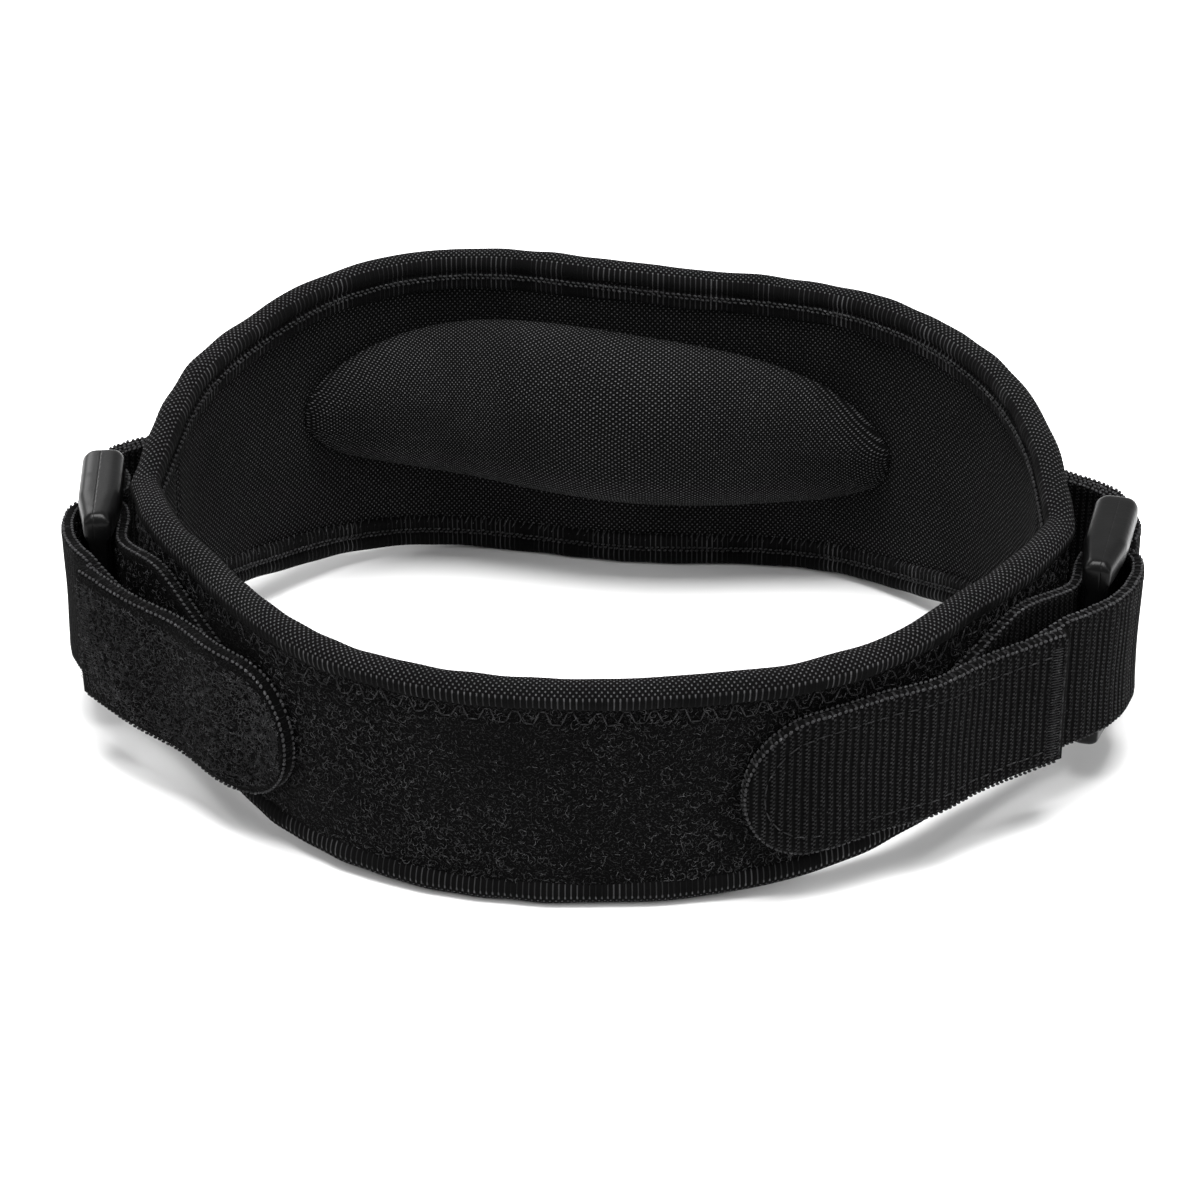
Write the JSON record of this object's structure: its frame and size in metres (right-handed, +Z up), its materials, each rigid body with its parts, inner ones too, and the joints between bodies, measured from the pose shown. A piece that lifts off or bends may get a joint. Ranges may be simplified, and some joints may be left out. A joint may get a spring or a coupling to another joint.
{
  "type": "elbow compression band",
  "caption": "Padded forearm band closed as an upright loop, with a domed compression pad inside and a ring, strap and hook tab at each side to tighten it.",
  "frame": {"origin": "centre of the part's footprint, on the surface it stands on", "axes": "+X across the loop from its left side to its right side, +Y from the pile-faced front panel to the tall padded back panel, +Z up, along the arm that the band goes round"},
  "size_m": [0.1467, 0.0965, 0.049],
  "materials": {
    "knit": "black fine knit over thin foam",
    "loop_pile": "black loop pile that hook tape grips",
    "binding": "black rolled edge binding with fine cross ribs",
    "webbing": "black webbing with fine cross ribs",
    "brushed_cloth": "black brushed cloth with a short nap",
    "ring_plastic": "black moulded plastic, satin"
  },
  "bodies": {
    "root": {"back_panel": "knit", "front_panel": "loop_pile", "top_binding": "binding", "bottom_binding": "binding", "pressure_pad": "knit", "left_ring": "ring_plastic", "left_anchor_strap": "webbing", "left_pull_strap": "webbing", "left_hook_tab": "brushed_cloth", "right_ring": "ring_plastic", "right_anchor_strap": "webbing", "right_pull_strap": "webbing", "right_hook_tab": "webbing"}
  },
  "joints": []
}
